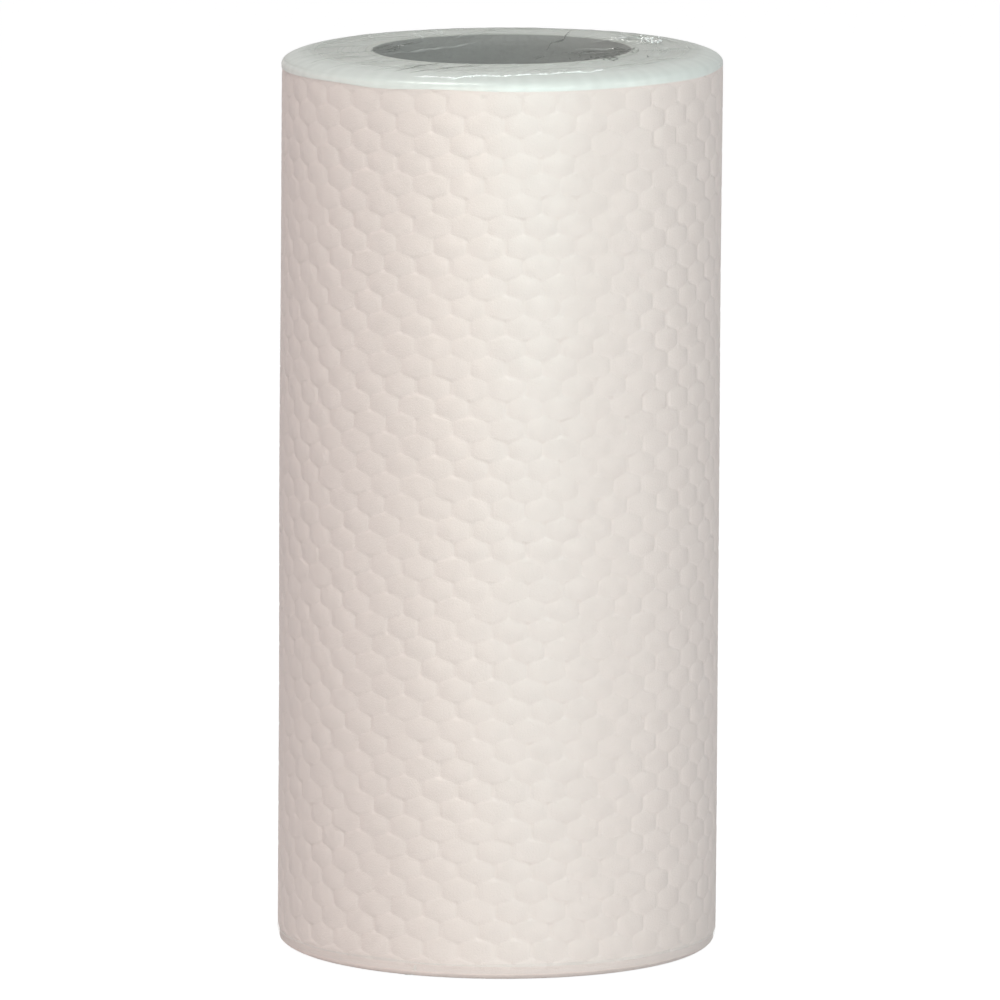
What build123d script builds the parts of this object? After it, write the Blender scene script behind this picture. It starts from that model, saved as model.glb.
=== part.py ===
from build123d import *
import os
from math import ceil, cos, dist, pi, sin, tau

# A roll of embossed cleaning cloth on a board core, sealed in clear shrink film.
# The roll stands on one end. The origin is the middle of that end, on the surface
# it stands on, and +Z runs up the roll's axis. -Y is the front, and the loose end
# of the cloth is at the back. Every size is in millimetres.

# Wound cloth
roll_diameter = 121.5        # over the raised cells of the outer turn
roll_height = 249.1          # width of the cloth
cell_pitch_across = 10.1     # one cell to the next, around the roll
cell_pitch_up = 5.57         # one row of cells to the next
emboss_depth = 0.5           # height of a cell over the groove around it
cell_point = 0.8             # how far a cell's top and bottom stand out from its corners
column_lean = 0.02           # sideways drift of the columns, per millimetre of height
turn_pitch = 3.75            # spacing of the wound ridges that show on each end
turn_depth = 0.45            # depth of the groove between two of those ridges
tail_step = 0.6              # thickness of the cloth where its loose end lies
tail_angle = 100.0           # where the loose end lies, in degrees from +X
rim_share = 0.07             # share of an edge's rounding beyond the last winding line

# Rounded edges of the wound cloth, each from the end face into the side
top_edge_reach = 16.0        # how far in from the side the end face starts to fall
top_edge_drop = 3.9          # how far down the side the rounding ends
bottom_edge_reach = 7.0
bottom_edge_drop = 4.4
edge_power = 2.3             # 2 is an ellipse, more is a squarer corner

# Core tube
core_bore = 71.0
core_wall = 2.0
core_clearance = 0.15        # between the core and the innermost turn

# Shrink film
film_thickness = 0.05
film_side_clearance = 0.1    # between the film and the tops of the cells
film_end_clearance = 0.35    # between the film and the top end of the roll
film_facet = 6.8             # width of the flats that make up the film's round form
film_edge_reach = 15.0       # the film's own rounding at the top, as for the cloth
film_edge_drop = 3.7
film_base_reach = 5.0        # the film's own rounding at the bottom
film_base_drop = 4.0
fold_height = 0.45           # height of the gathers on the top end
fold_pairs = 4.5             # half the number of gathers around the end
hole_dip = 3.0               # how far the film sinks into each end of the core

same_point = 1e-6            # points closer than this are one point
roll_radius = roll_diameter / 2
groove_radius = roll_radius - emboss_depth
floor = film_thickness
roll_top = floor + roll_height
roll_middle = floor + roll_height / 2
core_radius = core_bore / 2 + core_wall
columns = round(pi * roll_diameter / cell_pitch_across)
rows = int((roll_height - top_edge_drop - bottom_edge_drop) / cell_pitch_up)
lattice_bottom = (floor + bottom_edge_drop + roll_top - top_edge_drop - rows * cell_pitch_up) / 2
inner_turn_radius = (core_radius + core_clearance) / cos(pi / columns)


def at(radius, angle, height):
    """A point at this radius and angle about the roll's axis, and at this height."""
    return (radius * cos(angle), radius * sin(angle), height)


def flat_faces(outlines):
    """A face for each of these flat rings of points. Where a ring closes up to a line,
    as at the end of a winding line, there is none."""
    faces = []
    for outline in outlines:
        corners = [p for i, p in enumerate(outline) if dist(p, outline[i - 1]) > same_point]
        if len(corners) > 2:
            faces.append(Face(Wire.make_polygon(corners, close=True)))
    return faces


def edge_fall(inset, reach, drop):
    """How far a rounded end has fallen at this inset from the side. The section is a
    quarter of a squared ellipse, reach wide and drop high."""
    along = min(max(1 - inset / reach, 0), 1)
    return drop * (1 - (1 - along**edge_power) ** (1 / edge_power))


# Each turn of cloth lies on the one below, so the outside is a spiral that grows by
# one thickness in a turn, and steps back down where the loose end lies.
def growth(angle):
    """How far the outer turn lies below its largest radius at this angle."""
    return tail_step * (1 - ((angle - tail_angle * pi / 180) / tau) % 1)


def lattice_point(step, height, depth):
    """A point on the outer turn, a number of half cells around from +X. The columns
    lean, so the same step lies further round lower down."""
    angle = step % (2 * columns) * pi / columns
    angle -= column_lean * (height - roll_middle) / roll_radius
    return at(roll_radius - growth(angle) - depth, angle, height)


def groove_point(line, step):
    """A corner on the groove between two rows. Along it every second corner is raised
    and the others are lowered, which gives the cells their pointed tops and bottoms."""
    shift = -cell_point if (line + step) % 2 == 0 else cell_point
    height = lattice_bottom + line * cell_pitch_up + shift
    return lattice_point(step, height, emboss_depth)


def embossed_cells():
    """Six flats for each cell, from its low outline up to its middle. Each row starts
    half a cell on from the row below it."""
    flats = []
    for row in range(rows):
        middle_height = lattice_bottom + (row + 0.5) * cell_pitch_up
        for column in range(columns):
            step = 2 * column + row % 2
            outline = [groove_point(row, step + k) for k in (-1, 0, 1)]
            outline += [groove_point(row + 1, step + k) for k in (1, 0, -1)]
            middle = lattice_point(step, middle_height, 0)
            for k in range(6):
                flats.append([outline[k - 1], outline[k], middle])
    return flats


def wound_end(face_height, up, reach, drop, line):
    """The flats of one end. A spiral of ridges and grooves, half a pitch apart, runs
    out from the innermost turn over the rounded edge, and a last band joins it to the
    groove around the first or last row of cells."""
    rim_radius = groove_radius - tail_step - rim_share * reach
    half_pitch = turn_pitch / 2

    def turn_point(turn, k):
        """A corner on one winding line, k cells around. A line moves out by a whole
        pitch in a turn, and ends where it meets the innermost turn or the rim."""
        raw = inner_turn_radius + half_pitch * turn + turn_pitch * k / columns
        radius = min(max(raw, inner_turn_radius), rim_radius)
        if turn % 2 == 0:
            sunk = min(1, (rim_radius - radius) / half_pitch)
        else:
            sunk = 1 - min(1, (radius - inner_turn_radius) / half_pitch)
        fall = edge_fall(groove_radius - radius, reach, drop) + turn_depth * sunk
        return at(radius, k % columns * tau / columns, face_height - up * fall)

    flats = []
    last_line = ceil((rim_radius - inner_turn_radius) / half_pitch)
    for turn in range(-2, last_line):
        for k in range(columns):
            inner, inner_next = turn_point(turn, k), turn_point(turn, k + 1)
            outer, outer_next = turn_point(turn + 1, k), turn_point(turn + 1, k + 1)
            flats += [[inner, outer, outer_next], [inner, outer_next, inner_next]]
    for k in range(columns):
        rim, rim_next = turn_point(last_line, k), turn_point(last_line, k + 1)
        low = [groove_point(line, 2 * k + i) for i in range(3)]
        flats += [[low[0], low[1], rim], [low[1], low[2], rim_next], [low[1], rim_next, rim]]
    return flats


def wound_cloth():
    """The whole winding of cloth, as one solid with the core's hole through it."""
    flats = embossed_cells()
    flats += wound_end(roll_top, 1, top_edge_reach, top_edge_drop, rows)
    flats += wound_end(floor, -1, bottom_edge_reach, bottom_edge_drop, 0)
    for k in range(columns):
        angles = (k * tau / columns, (k + 1) % columns * tau / columns)
        low, high = floor + turn_depth, roll_top - turn_depth
        bottom = [at(inner_turn_radius, a, low) for a in angles]
        top = [at(inner_turn_radius, a, high) for a in angles]
        flats.append([bottom[0], bottom[1], top[1], top[0]])
    return Solid(Shell(flat_faces(flats)))


def core_tube():
    """The board tube that the cloth is wound on, flush with both ends of the cloth."""
    tube = Cylinder(core_radius, roll_height) - Cylinder(core_bore / 2, roll_height)
    return Pos(0, 0, roll_middle) * tube


film_sides = 4 * round(pi * roll_diameter / film_facet / 4)
film_radius = (roll_radius + film_side_clearance) / cos(pi / film_sides)
film_top = roll_top + film_end_clearance


def gather(angle):
    """Height of the gathers at this angle: the size of a slow wave whose phase swings
    to and fro, so that no two gathers are alike."""
    return fold_height * abs(sin(fold_pairs * angle + 1.2 * sin(2 * angle)))


def film_rings():
    """The film's section from the middle of the bottom to the middle of the top, each
    ring as its radius, its height and how much of a gather's height it takes."""
    hole = core_bore / 2
    rings = [(0, floor + hole_dip, 0), (hole, floor, 0)]
    for along in (0, 0.75, 1):
        inset = (1 - along) * film_base_reach
        fall = edge_fall(inset, film_base_reach, film_base_drop)
        rings.append((film_radius - inset, floor + fall, 0))
    for along, share in ((1, 0), (0.93, 0), (0.65, 0.3), (0, 0.7)):
        inset = (1 - along) * film_edge_reach
        fall = edge_fall(inset, film_edge_reach, film_edge_drop)
        rings.append((film_radius - inset, film_top - fall, share))
    rings.append((hole, film_top, 1))
    rings.append((hole / 2, film_top - 0.8 * hole_dip, 1))
    rings.append((0, film_top - hole_dip, 0))
    return rings


def film_skin(offset):
    """One face of the film as a closed shell. The outer face is the inner one moved
    out by the film's thickness, and up above the roll's middle or down below it."""
    def ring_points(ring):
        radius, height, share = ring
        height += offset if height > roll_middle else -offset
        radius += offset if radius > core_bore / 2 else 0
        angles = [k * tau / film_sides for k in range(film_sides)]
        return [at(radius, a, height + share * gather(a)) for a in angles]

    rings = [ring_points(ring) for ring in film_rings()]
    faces = []
    for index in range(1, len(rings)):
        below, above = rings[index - 1], rings[index]
        if index == 2:
            hole = Wire.make_polygon(below, close=True)
            faces.append(Face(Wire.make_polygon(above, close=True), [hole]))
            continue
        for k in range(film_sides):
            a, b, c, d = below[k - 1], below[k], above[k], above[k - 1]
            level = a[2] == b[2] and c[2] == d[2]
            faces += flat_faces([[a, b, c, d]] if level else [[a, b, c], [a, c, d]])
    return Solid(Shell(faces))


def film_wrap():
    """The clear film, a thin skin closed all round the roll."""
    return film_skin(film_thickness) - film_skin(0)


def write_step(part, name):
    """Writes one piece, under its own name."""
    part.label = name
    export_step(part, f"parts/{name}.step", write_pcurves=False)


os.makedirs("parts", exist_ok=True)
write_step(wound_cloth(), "cloth_roll")
write_step(core_tube(), "core_tube")
write_step(film_wrap(), "film_wrap")
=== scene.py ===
# %% [markdown]
# A roll of embossed cleaning cloth in clear shrink film.
#
# The real thing has three pieces. A long web of white nonwoven cloth, pressed with rows of
# little pillows, is wound on a grey board tube, and the whole roll is sealed in clear film
# that shrinks tight over the side and closes over both ends. The solids from the CAD model
# fix where each piece is. This script dresses them: it gives the cloth its soft pillows, the
# ends their many turns, and the film its creases and shine.

# %% Load the frame
import math

import bmesh
import bpy
import numpy as np
from mathutils import Matrix, Vector


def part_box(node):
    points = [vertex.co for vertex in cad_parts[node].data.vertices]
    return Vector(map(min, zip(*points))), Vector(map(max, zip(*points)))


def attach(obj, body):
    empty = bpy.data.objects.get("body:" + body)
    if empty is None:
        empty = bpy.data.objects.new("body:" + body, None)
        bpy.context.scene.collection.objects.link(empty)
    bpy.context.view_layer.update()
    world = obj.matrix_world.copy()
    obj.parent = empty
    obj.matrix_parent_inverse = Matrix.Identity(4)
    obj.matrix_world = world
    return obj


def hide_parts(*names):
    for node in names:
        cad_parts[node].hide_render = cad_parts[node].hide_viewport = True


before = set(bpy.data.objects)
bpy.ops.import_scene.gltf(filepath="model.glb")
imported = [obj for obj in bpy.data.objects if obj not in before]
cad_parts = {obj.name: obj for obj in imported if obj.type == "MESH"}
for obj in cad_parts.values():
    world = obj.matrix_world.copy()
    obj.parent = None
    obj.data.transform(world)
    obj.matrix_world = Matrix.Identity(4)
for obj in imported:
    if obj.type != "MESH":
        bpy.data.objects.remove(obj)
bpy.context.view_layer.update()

# %% [markdown]
# Shapes below are worked out in millimetres, because a pillow of cloth is 10 mm wide and that
# is easier to think about than 0.01 m. The radii and heights come from the frame, so that
# every new surface lies on the solid that it stands for.

# %% Sizes
MM = 0.001
rng = np.random.default_rng(7)


def reach_of(node):
    """The outer radius, the foot and the top of a round CAD node, in millimetres."""
    low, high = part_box(node)
    return high.x / MM, low.z / MM, high.z / MM


roll_radius, film_foot, _ = reach_of("film_wrap")
core_radius, core_foot, core_top = reach_of("core_tube")
cloth_foot, cloth_top = core_foot, core_top
roll_middle = (cloth_top + cloth_foot) / 2
core_wall = 2.0
core_bore_radius = core_radius - core_wall
turn_thickness = 0.6
print("roll radius", round(roll_radius, 2), "height", round(cloth_top - cloth_foot, 2))

# One pillow to the next, around the roll and up it.
cell_across, cell_up = 10.1, 5.53
columns = round(2 * math.pi * roll_radius / cell_across)

# The short grooves at the ends of a pillow and the long ones along its edges: their depth,
# the width of a wall, half the width of the floor, and how far an end wall bows.
end_depth, end_wall, end_floor, end_bow = 0.3, 1.0, 0.25, 0.7
edge_depth, edge_wall, edge_floor = 0.18, 0.6, 0.1

# How much lower a pillow's corners are than its middle, how far the line between two rows
# swings up and down, and how far the columns drift sideways in a millimetre of height.
cell_crown = 0.02
cell_point = 0.8
column_lean = 0.02

# Where the pattern lies on the roll, in radians around and millimetres up.
lattice_turn = 0.041
lattice_lift = -2.96

# How far in from the side, and how far down the side, each end is rounded.
top_edge = {"reach": 16.0, "drop": 3.9}
bottom_edge = {"reach": 7.0, "drop": 4.4}
edge_power = 2.3

# %% [markdown]
# Every surface here is a grid: a shape is a function of two parameters, worked out for the
# whole grid at once with numpy, and one helper turns the array of points into a mesh. Where a
# grid runs round the roll its last column joins its first, so that no seam is left open. The
# same helper stores a UV map, which is how a pattern later follows the surface.

# %% Grid helper
def grid_mesh(name, points, uv, around=True, loop=False):
    """A mesh from an array of points [row, column, xyz] in millimetres. Columns run
    anticlockwise round the roll and rows from the foot up, so that faces point outwards.
    around joins the last column to the first, and loop the last row to the first."""
    rows, cols = points.shape[:2]
    r = np.arange(rows if loop else rows - 1)[:, None]
    c = np.arange(cols if around else cols - 1)[None, :]
    r2, c2 = (r + 1) % rows, (c + 1) % cols
    quads = np.stack([r * cols + c, r * cols + c2, r2 * cols + c2, r2 * cols + c], axis=-1)
    quads = quads.reshape(-1, 4)
    mesh = bpy.data.meshes.new(name)
    mesh.vertices.add(rows * cols)
    mesh.vertices.foreach_set("co", (points.reshape(-1, 3) * MM).astype(np.float32).ravel())
    mesh.loops.add(quads.size)
    mesh.loops.foreach_set("vertex_index", quads.astype(np.int32).ravel())
    mesh.polygons.add(len(quads))
    mesh.polygons.foreach_set("loop_start", np.arange(0, quads.size, 4, dtype=np.int32))
    corner_r = np.stack([r + 0 * c, r + 0 * c, r + 1 + 0 * c, r + 1 + 0 * c], -1)
    corner_c = np.stack([c + 0 * r, c + 1 + 0 * r, c + 1 + 0 * r, c + 0 * r], -1)
    u, v = uv(corner_r.astype(float), corner_c.astype(float))
    layer = mesh.uv_layers.new(name="UVMap")
    layer.data.foreach_set("uv", np.stack([u, v], -1).astype(np.float32).ravel())
    mesh.update(calc_edges=True)
    mesh.validate()
    mesh.shade_smooth()
    piece = bpy.data.objects.new(name, mesh)
    bpy.context.scene.collection.objects.link(piece)
    print(name, "has", 2 * len(quads), "triangles")
    return piece


def round_points(radius, angle, height):
    """Points at these radii, angles and heights about the roll's axis."""
    radius, angle, height = np.broadcast_arrays(radius, angle, height)
    return np.stack([radius * np.cos(angle), radius * np.sin(angle), height], -1)


def store(piece, name, values):
    """Keeps one number for each point of the mesh, which a material can read by name."""
    layer = piece.data.attributes.new(name, "FLOAT", "POINT")
    layer.data.foreach_set("value", np.asarray(values, np.float32).ravel())


def smooth_step(low, high, x):
    """0 below low, 1 above high, and an S-shaped rise between them."""
    t = np.clip((x - low) / (high - low), 0, 1)
    return t * t * (3 - 2 * t)


def edge_fall(inset, edge):
    """How far the rounded end has fallen at this inset from the side: the section is a
    quarter of a squared ellipse."""
    along = np.clip(1 - inset / edge["reach"], 0, 1)
    return edge["drop"] * (1 - (1 - along**edge_power) ** (1 / edge_power))


def edge_inset(fall, edge):
    """The other way round: how far in from the side the rounded end is at this fall."""
    down = np.clip(1 - fall / edge["drop"], 0, 1)
    return edge["reach"] * (1 - (1 - down**edge_power) ** (1 / edge_power))


# %% [markdown]
# The cloth is embossed between hot rollers, which press a net of grooves into it and leave
# rows of low pillows. Each row is shifted by half a pillow against the next, as in a brick
# wall, and the pillow's top and bottom edges come to a blunt point, so that it is a long
# six-sided cell with a flat top. The grooves between two rows are narrow, and the short ones
# between two pillows of a row are wider and deeper, with bowed walls. One function finds, for
# any place on the web, which cell it is in and how deep it lies there.

# %% Pillows
cell_rows = int((cloth_top - cloth_foot) / cell_up) + 6
cell_strength = rng.uniform(0.5, 1.15, (cell_rows, columns))
cell_shift = rng.normal(0, 0.13, (cell_rows, columns, 2))


def zigzag(across, line):
    """Rise of a boundary line between two rows, in millimetres: a triangle wave that is low
    where the number of half cells is even and high where it is odd, counted from line."""
    step = (2 * across - line) % 2
    return cell_point * (2 * np.minimum(step, 2 - step) - 1)


def pillow(across, up):
    """Depth of the embossing in millimetres below the top of a pillow, at a place given in
    cells around and rows up. It is the larger of two depths: that of the wall at the cell's
    end, whose line is a parabola, and that of the wall at its upper or lower edge. Each wall
    is an S-shaped rise. A low crown is added."""
    row = np.floor(up)
    below = row + zigzag(across, row) / cell_up
    above = row + 1 + zigzag(across, row + 1) / cell_up
    row = np.where(up < below, row - 1, np.where(up > above, row + 1, row))
    along = across - 0.5 * (row % 2)
    column = np.round(along)
    j = np.clip(row.astype(int) + cell_rows // 2, 0, cell_rows - 1)
    i = column.astype(int) % columns
    x = np.abs((along - column) * cell_across + cell_shift[j, i, 0])
    y = np.abs((up - row - 0.5) * cell_up + cell_shift[j, i, 1])
    half_width, half_height = cell_across / 2, cell_up / 2
    to_end = half_width - end_bow * (y / half_height) ** 2 - x
    to_edge = half_height + cell_point * (1 - 2 * x / half_width) - y
    end_low = 1 - smooth_step(end_floor, end_floor + end_wall, to_end)
    edge_low = 1 - smooth_step(edge_floor, edge_floor + edge_wall, to_edge)
    low = np.maximum(end_depth * end_low, edge_depth * edge_low)
    crown = cell_crown * ((x / half_width) ** 2 + (y / half_height) ** 2) / 2
    return low * cell_strength[j, i] + crown


def web_place(angle, height):
    """Cells around and rows up at an angle and height on the roll. The columns lean a
    little, because the web was not embossed quite square."""
    turned = angle + column_lean * (height - roll_middle) / roll_radius + lattice_turn
    return turned * columns / (2 * math.pi), (height - roll_middle + lattice_lift) / cell_up


# %% [markdown]
# The outer turn of cloth is the surface that everyone sees. It is one closed tube: the
# embossed face outside, and a plain wall inside it that nobody sees. The rows of the grid
# follow the zigzag between two rows of pillows, so that a few of them are enough to draw a
# crisp groove. Each turn lies on the one below, so the outside is a spiral that grows by one
# thickness of cloth in a turn, and steps back down at the loose end, which is at the back.
# The upper edge of this turn is where the side ends: the turns under it stand a little higher
# one after the other, and so make the rounding.

# %% Outer turn of cloth
tail_angle = math.radians(100)
top_tilt, tilt_from = 0.010, 0.55
right_taper, taper_from = 0.006, 0.3


def turn_growth(angle):
    """How far the outer turn lies below its largest radius at this angle."""
    return turn_thickness * (1 - ((angle - tail_angle) / (2 * math.pi)) % 1)


def tilt(points):
    """Tips the top end a little: points rise towards +X, and those on the +X side come in a
    little. Both grow to the top as an S-shaped rise, from tilt_from and taper_from of the
    height on."""
    share = smooth_step(taper_from * cloth_top, cloth_top, points[..., 2])
    points[..., 0] -= right_taper * np.maximum(points[..., 0], 0) * share
    share = smooth_step(tilt_from * cloth_top, cloth_top, points[..., 2])
    points[..., 2] += top_tilt * points[..., 0] * share
    return points


def swell(angle, height):
    """Slow waves in the side of the roll, in millimetres: two sums of sines."""
    waves = np.sin(3 * angle + height / 31) + np.sin(5 * angle - height / 47 + 1)
    return 0.05 * waves + 0.04 * np.sin(height / 17 + 2 * np.sin(2 * angle))


# The outer turn ends this far below the top of the roll and above its foot. Within a row and
# within half a pillow, the grid's lines stand closest where the walls of the grooves are.
web_top_fall = 3.1
web_foot_fall = 1.6
straight_end = 4
row_steps = np.array([0.025, 0.14, 0.86, 0.975])
column_steps = np.array([0, 0.08, 0.17, 0.28, 0.72, 0.83, 0.92])


def web_rows(steps, low, high):
    """Rows of a grid, in row pitches, at these steps within each row of pillows, for every
    row between two heights, with the two heights themselves at the ends."""
    first, last = (np.array([low, high]) - roll_middle + lattice_lift) / cell_up
    ups = (np.arange(math.floor(first), math.ceil(last))[:, None] + steps).ravel()
    keep = (ups > first + 0.1) & (ups < last - 0.1)
    return np.concatenate([[first], ups[keep], [last]])


def web_grid(steps, ups):
    """Angle and height of each point of a grid whose columns lean with the pillows and whose
    rows follow the zigzag lines. steps are the places of columns within half a cell. The
    zigzag fades out towards the first and last row, so that both are level."""
    halves = (np.arange(2 * columns)[:, None] + steps).ravel()[None, :]
    up = ups[:, None] + 0 * halves
    across = halves / 2 + 0 * up
    flat_height = (up * cell_up) + roll_middle - lattice_lift
    lean = column_lean * (flat_height - roll_middle) / roll_radius
    angle = across * 2 * math.pi / columns - lean - lattice_turn
    line = np.floor(up)
    part = up - line
    rise = (1 - part) * zigzag(across, line) + part * zigzag(across, line + 1)
    fade = smooth_step(0, straight_end, flat_height - flat_height.min())
    fade *= smooth_step(0, straight_end, flat_height.max() - flat_height)
    return angle, flat_height + rise * fade


def side_inset(height):
    """How far in from the side the roll's rounded edges have come at this height."""
    from_top = edge_inset(cloth_top - height, top_edge)
    from_foot = edge_inset(height - cloth_foot, bottom_edge)
    return np.where(height > cloth_top - top_edge["drop"], from_top, 0) + np.where(
        height < cloth_foot + bottom_edge["drop"], from_foot, 0
    )


def cloth_surface(angle, height):
    """Radius of the outer face of the cloth, and how deep the embossing is there."""
    low = pillow(*web_place(angle, height))
    base = roll_radius - turn_growth(angle) + swell(angle, height)
    return base - low - side_inset(height), low


ups = web_rows(row_steps, cloth_foot + web_foot_fall, cloth_top - web_top_fall)
angle, height = web_grid(column_steps, ups)
radius, low = cloth_surface(angle, height)
outside = round_points(radius, angle, height)
hidden_wall = 2.5
inner_radius = radius[[-1, 0]] - hidden_wall
inside = round_points(inner_radius, angle[[-1, 0]], height[[-1, 0]])
turn_points = tilt(np.concatenate([outside, inside]))


def web_uv(angle, height):
    """UV of the cloth: metres around the roll and metres up, so one unit is a metre."""
    wrapped = np.concatenate([angle, 2 * math.pi + angle[:, :1]], 1)
    wrapped = np.concatenate([wrapped, wrapped[:1]]) * roll_radius * MM
    heights = np.concatenate([height, height[:, :1]], 1)
    heights = np.concatenate([heights, heights[:1]]) * MM

    def uv(r, c):
        return wrapped[r.astype(int), c.astype(int)], heights[r.astype(int), c.astype(int)]

    return uv


turn_angles = np.concatenate([angle, angle[[-1, 0]]])
turn_heights = np.concatenate([height, height[[-1, 0]]])
cloth_outer = grid_mesh(
    "cloth_outer_turn", turn_points, web_uv(turn_angles, turn_heights), loop=True
)
store(cloth_outer, "groove", np.concatenate([low, 0 * low[[-1, 0]]]) / end_depth)
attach(cloth_outer, "root")
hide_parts("cloth_roll")

# %% [markdown]
# Seen on end, the winding shows its turns as fine lines, 0.6 mm apart. No turn is cut quite
# like the next: some stand a little proud and some sit back, alone or with their neighbours.
# The two ends, the bore and a hidden outer wall make one closed ring.

# %% Turns on the ends
core_clearance = 0.15
bore_radius = core_radius + core_clearance
turn_groove, turn_sink, turn_spread = 0.2, 0.3, 0.25
under_outer_turn = 0.55
turn_count = round((roll_radius - bore_radius) / turn_thickness)
proud = rng.normal(0, 0.12, turn_count + 3) + np.convolve(
    rng.normal(0, 0.35, turn_count + 9), np.ones(7) / 7, "valid"
)


def end_turns(radius, angle):
    """How far the end face lies below its outline: a groove between each turn and the next
    along a spiral, and a height of its own for each turn, blended from turn to turn."""
    turn = (radius - bore_radius) / turn_thickness - angle / (2 * math.pi) + 1
    number = np.clip(np.floor(turn).astype(int), 0, turn_count + 1)
    part = turn - np.floor(turn)
    groove = np.abs(2 * part - 1) ** 3
    own = proud[number] * (1 - part) + proud[number + 1] * part
    return turn_groove * groove + turn_sink + np.clip(own, -turn_spread, turn_spread)


end_angles = np.linspace(0, 2 * math.pi, 200, endpoint=False)
outmost = roll_radius - under_outer_turn - turn_growth(end_angles[None, :])
end_share = np.linspace(0, 1, turn_count * 4)[:, None]
end_radii = bore_radius + end_share * (outmost - bore_radius)


def end_face(level, up, edge):
    """Points of one end, from the bore to the outer turn."""
    fall = edge_fall(roll_radius - end_radii, edge)
    fall = fall + end_turns(end_radii, end_angles[None, :])
    return round_points(end_radii, end_angles, level - up * fall)


foot_face = end_face(cloth_foot, -1, bottom_edge)
top_face = end_face(cloth_top, 1, top_edge)
ring_points = tilt(np.concatenate([foot_face, top_face[::-1]]))


def ring_uv(r, c):
    """UV of the ring: once round in u, and from the bore out and back in v."""
    return c / len(end_angles), r / (2 * len(end_share))


cloth_ends = grid_mesh("cloth_turns", ring_points, ring_uv, loop=True)
# The foot's rim bends round to the side, and takes the side's colour between 8 and 5 mm from it,
# in place of the painted shade of the ends.
foot_rim = smooth_step(roll_radius - 8, roll_radius - 5, end_radii)
store(cloth_ends, "groove", np.concatenate([foot_rim, 0 * foot_rim]))
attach(cloth_ends, "root")
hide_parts("cloth_roll")

# %% [markdown]
# The core is a tube of grey board, wound from narrow strips of paper glued in a spiral. Its
# seams show as faint slanting lines inside the bore.

# %% Core tube
core_angles = np.linspace(0, 2 * math.pi, 96, endpoint=False)
core_lip = 0.25
seam_pitch, seam_depth = 110, 0.12
inner_up = np.linspace(core_foot + core_lip, core_top - core_lip, 60)


def core_profile():
    """The section of the tube as radius and height, up the outside and down the bore, with
    slightly crushed corners."""
    outer = [(core_radius, core_foot + core_lip), (core_radius, core_top - core_lip)]
    top = [(core_radius - core_lip, core_top), (core_bore_radius + core_lip, core_top)]
    bore = [(core_bore_radius, z) for z in inner_up[::-1]]
    foot = [(core_bore_radius + core_lip, core_foot), (core_radius - core_lip, core_foot)]
    return np.array(outer + top + bore + foot)


profile = core_profile()
in_bore = profile[:, :1] < core_radius - core_wall / 2
# The seams are where a sine of the angle and the height passes one value, in a narrow bell.
seam = np.sin(core_angles[None, :] + profile[:, 1:] * 2 * math.pi / seam_pitch)
seam_groove = seam_depth * np.exp(-(((seam - 0.6) / 0.03) ** 2))
core_points = round_points(
    profile[:, :1] + seam_groove * in_bore, core_angles, profile[:, 1:]
)
core_points = tilt(core_points)


def core_uv(r, c):
    """UV of the tube: once round in u, and its section in v."""
    return c / len(core_angles), r / len(profile)


core = grid_mesh("board_core", core_points, core_uv, loop=True)
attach(core, "root")
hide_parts("core_tube")
cut_rim = (profile[:, 1] > core_top - 0.1) | (profile[:, 1] < core_foot + 0.1)
store(core, "cut_rim", np.repeat(cut_rim | (profile[:, 0] > core_radius - 0.1), len(core_angles)))

# %% [markdown]
# The film starts as a loose clear sleeve, and heat shrinks it. On the side it lies tight on
# the tops of the pillows and bridges the grooves between them, so it follows the cloth, but
# with about a third of its relief. Where the cloth ends, the film spans the small step.

# %% Film on the side
film_gap = 0.07
film_relief = 0.3
film_side_fall = 3.2
bridge_angle = math.radians(7)


def film_growth(angle):
    """The outer turn's spiral as the film sees it: the film ramps down from the loose end
    instead of dropping straight to the turn below."""
    past_tail = (angle - tail_angle) % (2 * math.pi)
    return turn_growth(angle) - turn_thickness * (1 - smooth_step(0, bridge_angle, past_tail))


def side_film_radius(angle, height):
    """Radius of the film: the cloth's own form with its relief scaled down."""
    low = film_relief * pillow(*web_place(angle, height))
    return roll_radius + film_gap - film_growth(angle) + swell(angle, height) - low


film_ups = web_rows(row_steps, cloth_foot + bottom_edge["drop"], cloth_top - film_side_fall)
film_angle, film_height = web_grid(column_steps, film_ups)
film_side_radius = side_film_radius(film_angle, film_height) - side_inset(film_height)
film_side = grid_mesh(
    "film_side",
    tilt(round_points(film_side_radius, film_angle, film_height)),
    web_uv(film_angle, film_height),
)
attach(film_side, "root")
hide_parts("film_wrap")

# %% [markdown]
# Over each end the sleeve has too much film for the smaller circle, so it gathers into folds
# while it shrinks. First comes the sheet itself, without its sharp folds. Its section starts
# on the side, rounds the edge of the roll and runs flat to the core, where nothing holds it
# up and it sinks a little. Soft dents come from sums of crossing sines with bent phases.

# %% Film on the ends
end_gap, foot_gap = 0.12, 0.1
film_end_radius = roll_radius + end_gap
top_film_level = cloth_top + end_gap
skirt = (0.6, 0.3)
# The radii between which the haze of painted light on the top end's edge grows.
painted_rim_from, painted_rim_to = 49, 57


def crumple(x, y, size):
    """Soft uneven dents: a sum of crossing sines with bent phases, about -1 to 1."""
    a = np.sin(x / size + 1.3 * np.sin(y / (1.7 * size)))
    b = np.sin(y / (0.8 * size) + 1.1 * np.sin(x / (1.3 * size) + 2))
    c = np.sin((x + y) / (0.6 * size) + 1.7 * np.sin((x - y) / (1.1 * size)))
    return (a * b + 0.6 * c * a + 0.4 * b * c) / 1.6


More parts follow.
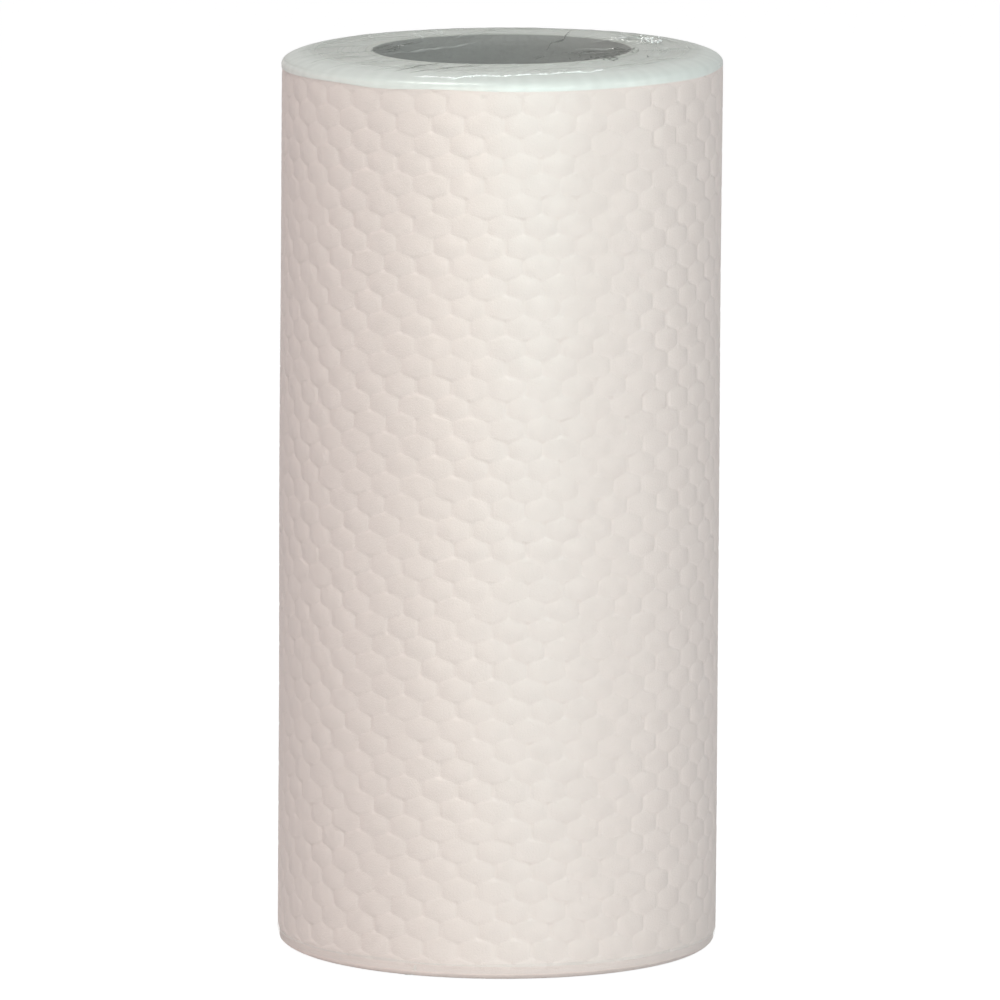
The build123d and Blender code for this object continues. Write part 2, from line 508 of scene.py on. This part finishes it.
def ridges(x, y, folds):
    """Height of broad folds over the plan. Each is (line, height, width) with line as
    (x0, y0, x1, y1). Across its line a fold falls as exp(-(distance / width)^1.4), and along
    it as a half sine."""
    total = 0 * x
    for (x0, y0, x1, y1), height, width in folds:
        length = math.hypot(x1 - x0, y1 - y0)
        along = ((x - x0) * (x1 - x0) + (y - y0) * (y1 - y0)) / length**2
        off = ((x - x0) * (y1 - y0) - (y - y0) * (x1 - x0)) / length
        taper = np.sin(math.pi * np.clip(along, 0, 1)) ** 0.6
        total = total + height * taper * np.exp(-((np.abs(off) / width) ** 1.4))
    return total


def end_height(x, y, end):
    """Height of the film above one end's level, over the plan: less the rounding and the
    sag over the core, plus dents and broad folds. Dents never press into the cloth."""
    r = np.hypot(x, y)
    over_core = np.clip(1 - (r / core_bore_radius) ** 2, 0, 1)
    lift = ridges(x, y, end["folds"])
    lift = lift + 0.06 * crumple(x, y, 3.1) + 0.03 * crumple(y, x, 1.3)
    hold = 0.15 + 0.85 * smooth_step(0, 7, film_end_radius - r)
    on_cloth = np.maximum(lift, -0.05) * hold
    soft = over_core**0.5 * (0.2 * crumple(x, y, 4.3) + 0.08 * crumple(y, x, 1.9))
    sag = end["sag"] * over_core**0.8 * (1 + 0.25 * crumple(x, y, 9))
    return on_cloth + soft - sag - edge_fall(film_end_radius - r, end["edge"])


def pulled_in(radius, angle):
    """How far the outer part of an end follows the film on the side, which goes in and out
    with the spiral. It fades in from 54 to 60 mm."""
    return film_growth(angle) * smooth_step(54, 60, radius)


def end_sheet(end, angles, steps_round, steps_flat):
    """Points of the film on one end, in rings from low on the side to the middle. The first
    two rings are a short wavy skirt down the side. The next are spread evenly in angle round
    the edge, and the rest evenly along the flat."""
    turn = np.linspace(0, 0.5 * math.pi, steps_round, endpoint=False)
    inset = end["edge"]["reach"] * np.sin(turn) ** 2
    flat = np.linspace(end["edge"]["reach"], film_end_radius, steps_flat)
    inset = np.concatenate([[0, 0], inset, flat])
    below = np.zeros(len(inset))
    below[:2] = skirt
    a, r = np.broadcast_arrays(angles[None, :], film_end_radius - inset[:, None])
    height = end_height(r * np.cos(a), r * np.sin(a), end) - below[:, None]
    height = height - 0.25 * np.sin(5 * a + 2 * np.sin(3 * a)) * (below[:, None] / skirt[0])
    r = r - pulled_in(r, a)
    return round_points(r, a, end["level"] + end["up"] * height), film_end_radius - inset


# Over the core: a tent at the far side, streaks from the left and crushed film at the right.
core_folds = [
    ((-20, 26, 3, 41), 0.7, 2.2),
    ((3, 41, 18, 8), 0.6, 1.8),
    ((-33, -12, -6, 28), 0.4, 1.6),
    ((-35, 2, -12, 26), 0.3, 1.4),
    ((24, 20, 40, 4), 0.6, 1.1),
    ((28, 14, 42, 26), 0.8, 1.2),
    ((20, 8, 38, -8), 0.6, 1.0),
    ((18, -4, 36, -14), 0.6, 0.9),
]
top_end = {
    "level": top_film_level, "up": 1, "edge": top_edge, "sag": 1.8, "folds": core_folds
}
foot_end = {
    "level": film_foot + foot_gap, "up": -1, "edge": bottom_edge, "sag": 2.2, "folds": []
}
top_angles = np.linspace(0, 2 * math.pi, 600, endpoint=False)
top_points, ring_radius = end_sheet(top_end, top_angles, 24, 88)


def end_uv(angles, radii):
    """UV of a film end: the plan itself, in metres, so that a pattern lies flat on it."""
    wrapped = np.append(angles, 2 * math.pi + angles[0])

    def uv(r, c):
        turn, out = wrapped[c.astype(int)], radii[r.astype(int)] * MM
        return out * np.cos(turn), out * np.sin(turn)

    return uv


def close_pole(piece):
    """Merges the last ring, which has shrunk to the middle, into one point."""
    mesh = bmesh.new()
    mesh.from_mesh(piece.data)
    bmesh.ops.remove_doubles(mesh, verts=mesh.verts, dist=1e-6)
    mesh.to_mesh(piece.data)
    mesh.free()
    piece.data.shade_smooth()


film_top_end = grid_mesh(
    "film_top_end", tilt(top_points), end_uv(top_angles, ring_radius)
)
# Towards the side the top film is given a strong milky haze, in faint streaks round the end:
# painted light that brightens the edge of the top end.
streaks = np.sin(47 * top_angles + 2 * np.sin(5 * top_angles))
streaks = streaks + np.sin(83 * top_angles + 1.5 * np.sin(7 * top_angles))
painted_rim_haze = smooth_step(painted_rim_from, painted_rim_to, ring_radius)[:, None] * (0.95 + 0.02 * streaks)
store(film_top_end, "painted_rim_haze", painted_rim_haze)
close_pole(film_top_end)

foot_angles = np.linspace(0, 2 * math.pi, 300, endpoint=False)
foot_points, foot_radius = end_sheet(foot_end, foot_angles, 12, 48)
foot_points[..., 2] = np.maximum(foot_points[..., 2], film_foot)
film_foot_end = grid_mesh(
    "film_foot_end", foot_points[:, ::-1], end_uv(foot_angles[::-1], foot_radius)
)
close_pole(film_foot_end)
for end in (film_top_end, film_foot_end):
    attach(end, "root")
    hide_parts("film_wrap")

# %% [markdown]
# The sharp folds are pleats: the film laps over itself in a narrow strip that stands up on
# one side and lies down on the other. A fold half a millimetre wide needs finer points than
# the sheet has, so each pleat is a strip of its own, laid on the sheet along its line. The
# large ones are listed one by one as on the real roll, and many small ones are placed by
# chance. The white creases are painted highlights: a white, nearly opaque haze stands for
# the light that those folds mirror. The dark creases are painted shade: a grey haze stands
# for the shade in those folds. Both are pieces of their own, each with its own material.

# %% Pleats
pleat_clearance = 0.02
pleat_section = np.array(
    [(-0.45, -0.05), (-0.2, 0.75), (0.0, 1.0), (0.22, 0.85), (0.5, 0.5), (0.9, 0.2), (1.5, -0.05)]
)


def pleat(end, line, height, width, seed):
    """Points of one pleat, [along, across, xyz]. The line bends and jitters by a few sines of
    its own, and the strip's height and width fade as a half sine towards both ends."""
    x0, y0, x1, y1 = line
    length = math.hypot(x1 - x0, y1 - y0)
    t = np.linspace(0, 1, 36)[:, None]
    phase = np.random.default_rng(seed).uniform(0, 2 * math.pi, 4)
    wander = 0.035 * np.sin(3.5 * t + phase[0]) + 0.012 * np.sin(13 * t + phase[1])
    wander = length * (wander + 0.006 * np.sin(31 * t + phase[2])) * np.sin(math.pi * t)
    fade = np.sin(math.pi * np.clip(t, 0.01, 0.99)) ** 0.7
    fade = fade * (0.8 + 0.2 * np.sin(17 * t + phase[3]))
    ux, uy = (x1 - x0) / length, (y1 - y0) / length
    off = wander + width * fade * pleat_section[None, :, 0]
    x = x0 + t * length * ux - off * uy
    y = y0 + t * length * uy + off * ux
    r = np.hypot(x, y)
    keep = np.minimum(1, (film_end_radius - pleat_clearance) / r)
    x, y = x * keep, y * keep
    rim = smooth_step(0, 3, film_end_radius - np.hypot(x, y))
    z = end_height(x, y, end) + height * rim * fade * pleat_section[None, :, 1]
    angle = np.arctan2(y, x)
    pull = 1 - pulled_in(np.hypot(x, y), angle) / np.maximum(r, 1)
    return np.stack([x * pull, y * pull, end["level"] + end["up"] * z], -1)


def jagged(points, height, width):
    """One jagged pleat, as straight ones from point to point."""
    return [((*a, *b), height, width) for a, b in zip(points, points[1:])]


def chance_pleats(count, inner, outer, longest, height):
    """Small pleats at random places between two radii, each leaning away from the radius.
    The film is pulled smoother at the back, so they are lower there."""
    turn = rng.uniform(0, 2 * math.pi, count)
    far = rng.uniform(inner, outer, count)
    length = rng.uniform(0.25, 1, count) * longest
    lean = turn + math.pi + rng.normal(0, 0.8, count)
    x, y = far * np.cos(turn), far * np.sin(turn)
    lines = np.stack([x, y, x + length * np.cos(lean), y + length * np.sin(lean)], -1)
    heights = rng.uniform(0.3, 1, count) * height * np.where(y > 15, 0.3, 1)
    widths = rng.uniform(0.5, 1.1, count)
    return [(tuple(q), h, w) for q, h, w in zip(lines, heights, widths)]


def near_pleats(count, middle, spread, longest, height):
    """Small pleats 0.4 mm wide in every direction, scattered round one place."""
    start = np.array(middle) + rng.normal(0, 1, (count, 2)) * spread
    turn = rng.uniform(0, 2 * math.pi, count)
    length = rng.uniform(0.3, 1, count) * longest
    step = np.stack([np.cos(turn), np.sin(turn)], -1) * length[:, None]
    heights = rng.uniform(0.5, 1, count) * height
    return [(tuple(q), h, 0.4) for q, h in zip(np.hstack([start, start + step]), heights)]


rim_line = [(-24, -53), (-17, -55.5), (-12, -57), (-8, -55.6), (-4, -56.4), (0, -56.8),
            (3, -55.9), (9, -54.3), (13, -54), (17, -51.6), (24, -50), (28, -46.2)]
white_folds = jagged(rim_line, 0.4, 0.32)
white_folds += [
    ((-14, -57.5, -2, -55), 0.3, 0.3),
    ((-9, -58, -7, -54), 0.3, 0.3),
    ((30, 16, 39, 26), 0.5, 0.4),
    ((-29, 12, -27, 10), 0.2, 0.2),
]
dark_folds = [
    ((-29, -47, -16, -34), 0.3, 0.3),
    ((-25, -50, -5, -39), 0.3, 0.3),
    ((31, -15, 37, 1), 0.4, 0.5),
    ((19, 42, 12, 9), 0.3, 0.25),
    ((-36, -6, -30, 14), 0.3, 0.9),
    ((-34, -2, -22, 22), 0.3, 0.7),
    ((-33, -8, -27, 13), 0.3, 0.6),
]
dark_folds += near_pleats(22, (27, -9), (5, 7), 7, 0.35)
dark_folds += near_pleats(10, (28, -22), (3, 2.5), 6, 0.3)
clear_folds = [
    ((-35, -44, -14, -36), 0.3, 0.5),
    ((-47, -34, -26, -27), 0.3, 0.6),
    ((-53, -24, -31, -14), 0.3, 0.7),
    ((-56, -14, -35, -6), 0.25, 0.7),
    ((-57, 0, -36, 8), 0.25, 0.7),
    ((-52, 10, -30, 22), 0.25, 0.7),
    ((-44, 22, -20, 32), 0.25, 0.7),
    ((-14, -50, 8, -42), 0.25, 0.6),
    ((6, -50, 24, -43), 0.25, 0.6),
    ((24, -48, 42, -32), 0.25, 0.7),
    ((34, -38, 53, -16), 0.25, 0.7),
    ((37, -8, 56, 2), 0.25, 0.7),
    ((-33, -14, -6, 26), 0.3, 1.0),
    ((-16, 26, 3, 40), 0.4, 0.9),
    ((24, 18, 42, 12), 0.5, 0.7),
    ((20, 8, 38, -8), 0.4, 0.7),
    ((26, 24, 44, 20), 0.5, 0.7),
]
clear_folds += chance_pleats(60, 42, 54, 13, 0.18)
foot_pleats = chance_pleats(60, 42, 56, 16, 0.3)


def pleat_mesh(name, end, pleats):
    """All the pleats of one end as one mesh of separate strips, kept clear of the floor."""
    strips = np.stack([pleat(end, *one, seed) for seed, one in enumerate(pleats)])
    count, along, across = strips.shape[:3]
    r = np.arange(along - 1)[:, None]
    c = np.arange(across - 1)[None, :]
    first = r * across + c
    quads = np.stack([first, first + 1, first + across + 1, first + across], -1)
    if end["up"] > 0:
        quads = quads[..., ::-1]
    quads = quads.reshape(-1, 4)[None] + (np.arange(count) * along * across)[:, None, None]
    mesh = bpy.data.meshes.new(name)
    points = tilt(strips.reshape(-1, 3))
    points[:, 2] = np.maximum(points[:, 2], film_foot + pleat_clearance)
    mesh.from_pydata(points * MM, [], quads.reshape(-1, 4).tolist())
    mesh.uv_layers.new(name="UVMap")
    mesh.shade_smooth()
    piece = bpy.data.objects.new(name, mesh)
    bpy.context.scene.collection.objects.link(piece)
    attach(piece, "root")
    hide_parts("film_wrap")
    print(name, "has", 2 * len(mesh.polygons), "triangles")
    return piece


top_pleat_strips = pleat_mesh("film_top_pleats", top_end, clear_folds)
white_strips = pleat_mesh("film_white_creases", top_end, white_folds)
dark_strips = pleat_mesh("film_dark_creases", top_end, dark_folds)
foot_pleat_strips = pleat_mesh("film_foot_pleats", foot_end, foot_pleats)

# %% [markdown]
# The sleeve was sealed and cut by a hot wire. Where the wire left it, behind the core on the
# right, the melted film has drawn up into a cluster of small hard beads.

# %% Seal bead
def beads(count, middle, spread):
    """Points of small closed balls, [ball, ring, round, xyz], of random size and place."""
    at = np.array(middle) + rng.normal(0, 1, (count, 2)) * spread
    size = rng.uniform(0.2, 0.45, count)
    rings = np.linspace(0, math.pi, 7)
    rounds = np.linspace(0, 2 * math.pi, 10, endpoint=False)
    ball = np.stack(
        np.broadcast_arrays(
            np.sin(rings)[:, None] * np.cos(rounds),
            np.sin(rings)[:, None] * np.sin(rounds),
            np.cos(rings)[:, None],
        ),
        -1,
    )
    ball = ball[None] * size[:, None, None, None]
    lift = end_height(at[:, 0], at[:, 1], top_end) + rng.uniform(0.1, 1.3, count)
    centre = np.stack([at[:, 0], at[:, 1], top_film_level + lift], -1)
    return ball + centre[:, None, None, :]


bead_count, bead_place, bead_spread = 34, (40.5, 14), (1.5, 3.0)
balls = beads(bead_count, bead_place, bead_spread)
count, rings, rounds = balls.shape[:3]
r, c = np.arange(rings - 1)[:, None], np.arange(rounds)[None, :]
after = (c + 1) % rounds
ball_quads = np.stack(
    [r * rounds + c, (r + 1) * rounds + c, (r + 1) * rounds + after, r * rounds + after], -1
)
ball_quads = ball_quads.reshape(-1, 4)[None] + (np.arange(count) * rings * rounds)[:, None, None]
bead_mesh = bpy.data.meshes.new("film_seal_beads")
bead_mesh.from_pydata(tilt(balls.reshape(-1, 3)) * MM, [], ball_quads.reshape(-1, 4).tolist())
bead_mesh.uv_layers.new(name="UVMap")
seal_beads = bpy.data.objects.new("film_seal_beads", bead_mesh)
bpy.context.scene.collection.objects.link(seal_beads)
close_pole(seal_beads)
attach(seal_beads, "root")
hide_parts("film_wrap")
print("film_seal_beads has", 2 * len(bead_mesh.polygons), "triangles")

# %% [markdown]
# Materials come next. Colours are written as sRGB hex values, as a colour picker shows them,
# and one function turns them into the linear numbers that a shader works with. One more
# function adds any node: a plain value is set on its socket, and a socket is linked to it.

# %% Material helpers
def linear(hex_colour):
    """An sRGB hex colour as linear red, green, blue and an alpha of 1."""
    srgb = np.array([int(hex_colour[i : i + 2], 16) for i in (1, 3, 5)]) / 255
    rgb = np.where(srgb <= 0.04045, srgb / 12.92, ((srgb + 0.055) / 1.055) ** 2.4)
    return (*(float(v) for v in rgb), 1.0)


def add_node(tree, kind, sockets=None, **settings):
    """Adds a node. settings are its own choices. sockets gives its inputs by name or number:
    another node's output is linked, and a number, colour or vector is set."""
    node = tree.nodes.new("ShaderNode" + kind)
    for key, value in settings.items():
        setattr(node, key, value)
    for key, value in (sockets or {}).items():
        if isinstance(value, bpy.types.NodeSocket):
            tree.links.new(value, node.inputs[key])
        else:
            node.inputs[key].default_value = value
    return node


def new_material(name):
    """An empty node material with its output node."""
    material = bpy.data.materials.new(name)
    material.use_nodes = True
    material.node_tree.nodes.clear()
    return material, material.node_tree, add_node(material.node_tree, "OutputMaterial")


# %% [markdown]
# The cloth is spunlaced viscose: short fibres tangled by water jets, with no weave. It is
# matt and a little translucent, and its fibres give it a faint fuzz and small clouds of
# thicker and thinner web. The grooves look nearly the colour of the pillows, because the film
# bridges them, and they are coloured a touch paler than the pillows, as painted light over
# the shade in them. A real fibre is a hundredth of a millimetre thick, which no pixel shows,
# so the fibre bump here is about half a millimetre across.

# %% Cloth
def nonwoven_cloth(name, top_colour, paler_groove_and_rim_colour):
    """Spunlaced nonwoven: clouds of web and a fibre bump. Where the mesh carries the attribute
    groove it takes a second colour: in the embossed grooves a touch paler, as painted light over
    their shade, and on the foot's rim the side's colour, where the painted shade of the ends
    stops."""
    material, tree, output = new_material(name)
    place = add_node(tree, "TexCoord").outputs["Object"]
    # A scale of 1000 is a pattern of 1 mm: the clouds are 4 mm across and the fibres 0.5 mm.
    clouds = add_node(tree, "TexNoise", {"Vector": place, "Scale": 260.0, "Detail": 3.0})
    fibres = add_node(tree, "TexNoise", {"Vector": place, "Scale": 1900.0, "Detail": 2.0})
    tint = add_node(
        tree,
        "Mix",
        {
            "Factor": clouds.outputs["Fac"],
            6: linear(top_colour[0]),
            7: linear(top_colour[1]),
        },
        data_type="RGBA",
    ).outputs[2]
    groove = add_node(tree, "Attribute", attribute_name="groove").outputs["Fac"]
    tint = add_node(
        tree,
        "Mix",
        {"Factor": groove, 6: tint, 7: linear(paler_groove_and_rim_colour)},
        data_type="RGBA",
    ).outputs[2]
    bump = add_node(
        tree,
        "Bump",
        {"Height": fibres.outputs["Fac"], "Strength": 0.4, "Distance": 0.0002},
    )
    web = add_node(
        tree,
        "BsdfPrincipled",
        {
            "Base Color": tint,
            "Roughness": 0.9,
            "Specular IOR Level": 0.25,
            "Sheen Weight": 0.15,
            "Sheen Roughness": 0.6,
            "Normal": bump.outputs["Normal"],
        },
    )
    tree.links.new(web.outputs[0], output.inputs["Surface"])
    return material


# The grooves' colour, a touch paler than the pillows, is painted light over their shade.
outer_cloth = nonwoven_cloth("spunlaced_viscose", ("#EBDAD5", "#F8E7E2"), "#F2E1DC")
# The ends are the same white cloth, coloured grey-green: painted shade, with a greenish tint
# painted for the film's reflection. Only the foot's rim keeps the side's colour.
shaded_end_cloth = nonwoven_cloth("viscose_turns_painted_shade", ("#D1D4CF", "#DADCD8"), "#F2E1DC")
cloth_outer.data.materials.append(outer_cloth)
cloth_ends.data.materials.append(shaded_end_cloth)

# %% [markdown]
# The core is grey board, made from recycled paper. Its fibres are a mix of light and dark, so
# it is a flat grey with fine flecks, and it has no shine at all. Its cut rim is coloured
# paler, nearly as pale as the cloth beside it, and so is its outer wall.

# %% Board
def grey_board():
    """Recycled core board: a grey with fine flecks, quite matt, and paler on its cut rim."""
    material, tree, output = new_material("recycled_core_board")
    place = add_node(tree, "TexCoord").outputs["Object"]
    # Flecks of pulp, about 1 mm across.
    flecks = add_node(tree, "TexNoise", {"Vector": place, "Scale": 900.0, "Detail": 4.0})
    colour = add_node(
        tree,
        "Mix",
        {"Factor": flecks.outputs["Fac"], 6: linear("#92928F"), 7: linear("#A8A8A5")},
        data_type="RGBA",
    ).outputs[2]
    rim = add_node(tree, "Attribute", attribute_name="cut_rim").outputs["Fac"]
    colour = add_node(
        tree, "Mix", {"Factor": rim, 6: colour, 7: linear("#CFD2CC")}, data_type="RGBA"
    ).outputs[2]
    bump = add_node(
        tree,
        "Bump",
        {"Height": flecks.outputs["Fac"], "Strength": 0.3, "Distance": 0.0002},
    )
    board = add_node(
        tree,
        "BsdfPrincipled",
        {"Base Color": colour, "Roughness": 0.92, "Normal": bump.outputs["Normal"]},
    )
    tree.links.new(board.outputs[0], output.inputs["Surface"])
    return material


core.data.materials.append(grey_board())

# %% [markdown]
# The film is polyolefin shrink film, a fiftieth of a millimetre thick. It is too thin to bend
# light, so a Transparent shader lets most of it straight through, and a Glossy shader adds
# the shine. Fresnel makes that shine stronger where the film is seen at a slant. Shrinking
# roughens the film a little, so the shine is broad. On the ends the gathered film is thicker
# and slightly milky, which a share of diffuse haze stands for. Towards the edge of the top end
# that haze grows much stronger, as painted light that brightens the edge.

# %% Film
# How much haze of painted light the edge of the top end gets.
painted_rim_haze_share = 0.7


def shrink_film(name, roughness, shine, slant_shine, haze, haze_colour, ripple, glint):
    """Clear shrink film: shine and slant_shine are the shares of light mirrored face on and
    added at a slant, haze is the share of the rest that the film scatters, and ripple is the
    depth in metres of fine ripples. The share glint of the shine is nearly sharp. Where the
    mesh carries the attribute for the rim, the haze grows: painted light that brightens the
    edge of the top end."""
    material, tree, output = new_material(name)
    place = add_node(tree, "TexCoord").outputs["Object"]
    # Ripples 2 to 3 mm across, as shrinking leaves them.
    waves = add_node(tree, "TexNoise", {"Vector": place, "Scale": 420.0, "Detail": 3.0})
    bump = add_node(
        tree,
        "Bump",
        {"Height": waves.outputs["Fac"], "Strength": 0.5, "Distance": ripple},
    ).outputs["Normal"]
    slant = add_node(tree, "Fresnel", {"IOR": 1.5, "Normal": bump}).outputs[0]
    share = add_node(
        tree,
        "MapRange",
        {"Value": slant, 1: 0.04, 2: 1.0, 3: shine, 4: shine + slant_shine},
    ).outputs[0]
    clear = add_node(tree, "BsdfTransparent")
    milk = add_node(tree, "BsdfDiffuse", {"Color": linear(haze_colour), "Normal": bump})
    painted_rim_haze = add_node(tree, "Attribute", attribute_name="painted_rim_haze").outputs["Fac"]
    scatter = add_node(
        tree, "Math", {0: painted_rim_haze, 1: painted_rim_haze_share, 2: haze}, operation="MULTIPLY_ADD"
    ).outputs[0]
    body = add_node(
        tree, "MixShader", {0: scatter, 1: clear.outputs[0], 2: milk.outputs[0]}
    )
    gloss = add_node(
        tree,
        "BsdfGlossy",
        {"Color": linear("#F2F6F2"), "Roughness": roughness, "Normal": bump},
    )
    spark = add_node(
        tree,
        "BsdfGlossy",
        {"Color": linear("#F2F6F2"), "Roughness": 0.09, "Normal": bump},
    )
    shines = add_node(tree, "MixShader", {0: glint, 1: gloss.outputs[0], 2: spark.outputs[0]})
    film = add_node(tree, "MixShader", {0: share, 1: body.outputs[0], 2: shines.outputs[0]})
    tree.links.new(film.outputs[0], output.inputs["Surface"])
    return material


tight_film = shrink_film(
    "tight_shrink_film", roughness=0.5, shine=0.12, slant_shine=0.05,
    haze=0.02, haze_colour="#E8EEE8", ripple=0.00012, glint=0.04,
)
end_film = shrink_film(
    "gathered_shrink_film", roughness=0.28, shine=0.06, slant_shine=0.09,
    haze=0.05, haze_colour="#FBFFFB", ripple=0.0002, glint=0.1,
)
pleat_film = shrink_film(
    "pleated_shrink_film", roughness=0.24, shine=0.16, slant_shine=0.2,
    haze=0.1, haze_colour="#EEF2EE", ripple=0.0002, glint=0.3,
)
# Painted highlight: a white haze that stands for the light mirrored by the creases along the
# front edge and by the seal beads.
painted_highlight_crease = shrink_film(
    "painted_highlight_film", roughness=0.2, shine=0.25, slant_shine=0.2,
    haze=0.9, haze_colour="#FFFFFF", ripple=0.0001, glint=0.3,
)
# Painted shade: a grey haze that stands for the shade in some folds and in the crushed film right
# of the core.
painted_shade_crease = shrink_film(
    "painted_shade_film_crease", roughness=0.3, shine=0.05, slant_shine=0.1,
    haze=0.4, haze_colour="#7C807A", ripple=0.0001, glint=0.1,
)
film_finishes = (
    (film_side, tight_film),
    (film_top_end, end_film),
    (film_foot_end, end_film),
    (top_pleat_strips, pleat_film),
    (foot_pleat_strips, pleat_film),
    # The white creases and the seal beads get the white haze of painted highlight.
    (white_strips, painted_highlight_crease),
    (seal_beads, painted_highlight_crease),
    # The dark creases get the grey haze of painted shade.
    (dark_strips, painted_shade_crease),
)
for piece, finish in film_finishes:
    piece.data.materials.append(finish)

# %% [markdown]
# The photograph is a plain catalogue picture on white. Here the floor is pale and lit like
# the object, and for the camera, for reflections and for light seen through the film it also
# glows a little, so that it comes out white and still keeps a soft shadow.

# %% Floor
def pale_floor():
    """A matt pale floor, which the camera and gloss see as white with the shadow kept."""
    material, tree, output = new_material("matt_white_paper")
    path = add_node(tree, "LightPath").outputs
    seen = add_node(
        tree,
        "Math",
        {0: path["Is Camera Ray"], 1: path["Is Glossy Ray"]},
        operation="MAXIMUM",
    ).outputs[0]
    seen = add_node(
        tree, "Math", {0: seen, 1: path["Is Transmission Ray"]}, operation="MAXIMUM"
    ).outputs[0]
    paper = add_node(tree, "BsdfDiffuse", {"Color": linear("#E4E4E4")})
    shade = add_node(tree, "BsdfDiffuse", {"Color": linear("#7A7A7A")})
    glow = add_node(tree, "Emission", {"Color": linear("#FFFFFF"), "Strength": 0.955})
    lit = add_node(tree, "AddShader", {0: shade.outputs[0], 1: glow.outputs[0]})
    both = add_node(tree, "MixShader", {0: seen, 1: paper.outputs[0], 2: lit.outputs[0]})
    tree.links.new(both.outputs[0], output.inputs["Surface"])
    return material


floor_mesh = bpy.data.meshes.new("floor")
floor_half = 12.0  # metres: its far edge is outside the photograph's view
floor_mesh.from_pydata(
    [(-floor_half, -floor_half, 0), (floor_half, -floor_half, 0),
     (floor_half, floor_half, 0), (-floor_half, floor_half, 0)],
    [],
    [(0, 1, 2, 3)],
)
floor = bpy.data.objects.new("floor", floor_mesh)
bpy.context.scene.collection.objects.link(floor)
floor.data.materials.append(pale_floor())

# %% [markdown]
# The world is white for the camera, for reflections near the horizon and for what is seen
# through the film. For everything else it is the grey room of a studio, lighter at the
# horizon than overhead, which fills the shadows.

# %% World
def studio_world():
    """White where the camera looks, and a soft grey room for the light."""
    world = bpy.data.worlds.new("studio")
    world.use_nodes = True
    bpy.context.scene.world = world
    tree = world.node_tree
    tree.nodes.clear()
    path = add_node(tree, "LightPath").outputs
    direction = add_node(tree, "TexCoord").outputs["Generated"]
    up = add_node(tree, "SeparateXYZ", {0: direction}).outputs["Z"]
    room = add_node(
        tree, "MapRange", {"Value": up, 1: 0.05, 2: 0.7, 3: 0.36, 4: 0.17}
    ).outputs[0]
    room_light = add_node(
        tree, "Background", {"Color": linear("#FEF9FF"), "Strength": room}
    )
    gloss = add_node(
        tree, "MapRange", {"Value": up, 1: 0.25, 2: 0.8, 3: 1.0, 4: 0.3}
    ).outputs[0]
    gloss_light = add_node(
        tree, "Background", {"Color": linear("#FFFFFF"), "Strength": gloss}
    )
    white = add_node(tree, "Background", {"Color": linear("#FFFFFF"), "Strength": 1.0})
    for_gloss = add_node(
        tree,
        "MixShader",
        {0: path["Is Glossy Ray"], 1: room_light.outputs[0], 2: gloss_light.outputs[0]},
    )
    seen = add_node(
        tree,
        "Math",
        {0: path["Is Camera Ray"], 1: path["Is Transmission Ray"]},
        operation="MAXIMUM",
    ).outputs[0]
    both = add_node(
        tree, "MixShader", {0: seen, 1: for_gloss.outputs[0], 2: white.outputs[0]}
    )
    output = add_node(tree, "OutputWorld")
    tree.links.new(both.outputs[0], output.inputs["Surface"])


studio_world()
bpy.context.scene.view_settings.view_transform = "Standard"

# %% [markdown]
# Two wide softboxes in front, one cool and one warm, give the even light on the side and the
# pale band down its middle. A small one near the front edge of the top end lights that edge
# more than the far one. One overhead lights the top end and draws the folds of the film, and
# one on the right keeps the right side from going dark.

# %% Lamps
def softbox(name, azimuth, elevation, distance, size, watts, colour):
    """A square area lamp that faces the roll. Azimuth 0 is the front and 90 the right."""
    lamp = bpy.data.lights.new(name, "AREA")
    lamp.shape = "RECTANGLE"
    lamp.size, lamp.size_y = size
    lamp.energy = watts
    lamp.color = linear(colour)[:3]
    a, e = math.radians(azimuth), math.radians(elevation)
    back = Vector((math.sin(a) * math.cos(e), -math.cos(a) * math.cos(e), math.sin(e)))
    holder = bpy.data.objects.new(name, lamp)
    target = Vector((0, 0, roll_middle * MM))
    holder.location = target + back * distance
    holder.rotation_euler = (-back).to_track_quat("-Z", "Y").to_euler()
    bpy.context.scene.collection.objects.link(holder)


softbox("front_softbox", 18, 8, 1.4, (1.0, 0.5), 5.85, "#E5FEFF")
softbox("left_softbox", -20, 6, 1.4, (0.8, 0.5), 3.4, "#FFF5EA")
softbox("near_softbox", 10, 42, 0.75, (0.3, 0.3), 0.7, "#E6FFF2")
softbox("top_softbox", -70, 70, 1.6, (0.6, 0.6), 9.2, "#FFFAF8")
softbox("right_softbox", 70, 12, 1.5, (0.6, 0.8), 2.75, "#FFFFFF")

# %% [markdown]
# The picture was taken from far off with a long lens, a little above the middle of the roll.
# The distance and height come from the shape of the ellipses at the two ends. A fitted roll
# of under half a degree is added.

# %% Camera
camera_distance = 3.472
camera_elevation = math.radians(8.77)
camera_roll = math.radians(0.426)
camera = bpy.data.cameras.new("camera")
camera.sensor_width = 36.0
camera.lens = 453.0
camera.clip_end = 60.0
camera_holder = bpy.data.objects.new("camera", camera)
bpy.context.scene.collection.objects.link(camera_holder)
look_at = Vector((0.00026, 0, 0.1239))  # in metres, close to the middle of the roll
back = Vector((0, -math.cos(camera_elevation), math.sin(camera_elevation)))
facing = (-back).to_track_quat("-Z", "Y").to_matrix().to_4x4()
camera_holder.matrix_world = (
    Matrix.Translation(look_at + back * camera_distance)
    @ facing
    @ Matrix.Rotation(camera_roll, 4, "Z")
)
bpy.context.scene.camera = camera_holder
